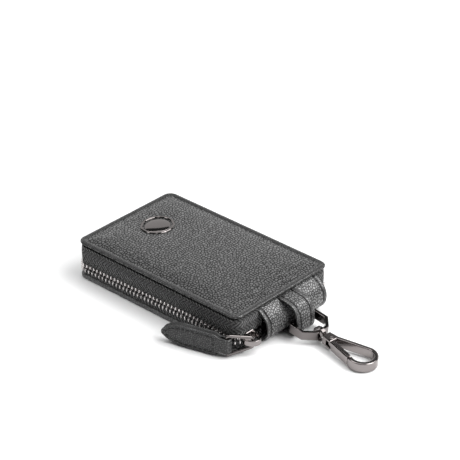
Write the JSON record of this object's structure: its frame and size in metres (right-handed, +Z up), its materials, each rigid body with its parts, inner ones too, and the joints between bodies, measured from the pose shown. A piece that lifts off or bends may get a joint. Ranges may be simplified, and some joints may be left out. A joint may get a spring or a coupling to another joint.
{
  "type": "zip-around key case",
  "caption": "Zip-around leather key case with inner key hooks, a pull tab, and a strap ring that carries a swivel snap hook.",
  "frame": {"origin": "middle of the flat underside of the bottom cover", "axes": "+X along the case to its spine, ring and hook, +Y to the long side away from the pull tab, +Z up from the table"},
  "size_m": [0.1702, 0.0857, 0.0231],
  "materials": {
    "leather": "charcoal grained leather with a soft sheen",
    "tape": "black herringbone zip tape",
    "lining": "black woven lining",
    "gunmetal": "polished dark nickel"
  },
  "bodies": {
    "case_base": {"bottom_cover": "leather", "bottom_lining": "lining", "lower_zip_tape": "tape", "lower_zip_teeth": "gunmetal", "lower_zip_stop_near": "gunmetal", "lower_zip_stop_far": "gunmetal", "spine_panel": "leather", "ring_strap": "leather", "key_plate": "gunmetal", "key_plate_rivet_1": "gunmetal", "key_plate_rivet_2": "gunmetal", "key_rod": "gunmetal"},
    "lid": {"top_cover": "leather", "top_lining": "lining", "upper_zip_tape": "tape", "upper_zip_teeth": "gunmetal", "upper_zip_stop_near": "gunmetal", "upper_zip_stop_far": "gunmetal", "badge_frame": "gunmetal", "badge_dome": "gunmetal"},
    "slider": {"zip_slider": "gunmetal"},
    "pull_loop": {"puller_loop": "gunmetal"},
    "pull_tab": {"puller_tab": "leather"},
    "ring": {"strap_ring": "gunmetal"},
    "eye": {"swivel_eye": "gunmetal"},
    "hook": {"hook_body": "gunmetal", "gate_pin": "gunmetal"},
    "gate": {"hook_gate": "gunmetal"},
    "key_1": {"key_hook_1": "gunmetal"},
    "key_2": {"key_hook_2": "gunmetal"},
    "key_3": {"key_hook_3": "gunmetal"},
    "key_4": {"key_hook_4": "gunmetal"}
  },
  "joints": [
    {"name": "lid_fold", "type": "hinge", "parent": "case_base", "child": "lid", "pos_m": [0.061, 0, 0.009], "axis": [0, 1, 0], "range_deg": [0, 90], "deforming": ["spine_panel", "ring_strap"]},
    {"name": "zip_slide", "type": "slide", "parent": "case_base", "child": "slider", "axis": [0, 1, 0], "range_m": [-0.002, 0]},
    {"name": "pull_loop_swing", "type": "hinge", "parent": "slider", "child": "pull_loop", "pos_m": [0.0603, -0.0279, 0.0071], "axis": [0, 0, 1], "range_deg": [0, 85]},
    {"name": "pull_tab_swing", "type": "hinge", "parent": "pull_loop", "child": "pull_tab", "pos_m": [0.053, -0.0387, 0.007], "axis": [0, 0, 1], "range_deg": [0, 90]},
    {"name": "ring_swing", "type": "hinge", "parent": "case_base", "child": "ring", "pos_m": [0.0647, 0.0036, 0.00676], "axis": [0, 1, 0], "range_deg": [-70, 0]},
    {"name": "eye_swing", "type": "hinge", "parent": "ring", "child": "eye", "pos_m": [0.07799, 0.0023, 0.00501], "axis": [0, 1, 0], "range_deg": [-60, 60]},
    {"name": "hook_swivel", "type": "hinge", "parent": "eye", "child": "hook", "pos_m": [0.07799, 0.0023, 0.00501], "axis": [0.9928, -0.1043, -0.0593], "continuous": true},
    {"name": "gate_swing", "type": "hinge", "parent": "hook", "child": "gate", "pos_m": [0.08649, 0.0005, 0.0045], "axis": [0.059, -0.0062, 0.9982], "range_deg": [0, 20], "stiffness_Nm_per_rad": 0.02, "springref_deg": -5.73},
    {"name": "key_swing_1", "type": "hinge", "parent": "case_base", "child": "key_1", "pos_m": [0.044, -0.0162, 0.0066], "axis": [0, 1, 0], "range_deg": [0, 30]},
    {"name": "key_swing_2", "type": "hinge", "parent": "case_base", "child": "key_2", "pos_m": [0.044, -0.0054, 0.0066], "axis": [0, 1, 0], "range_deg": [0, 30]},
    {"name": "key_swing_3", "type": "hinge", "parent": "case_base", "child": "key_3", "pos_m": [0.044, 0.0054, 0.0066], "axis": [0, 1, 0], "range_deg": [0, 30]},
    {"name": "key_swing_4", "type": "hinge", "parent": "case_base", "child": "key_4", "pos_m": [0.044, 0.0162, 0.0066], "axis": [0, 1, 0], "range_deg": [0, 30]}
  ]
}
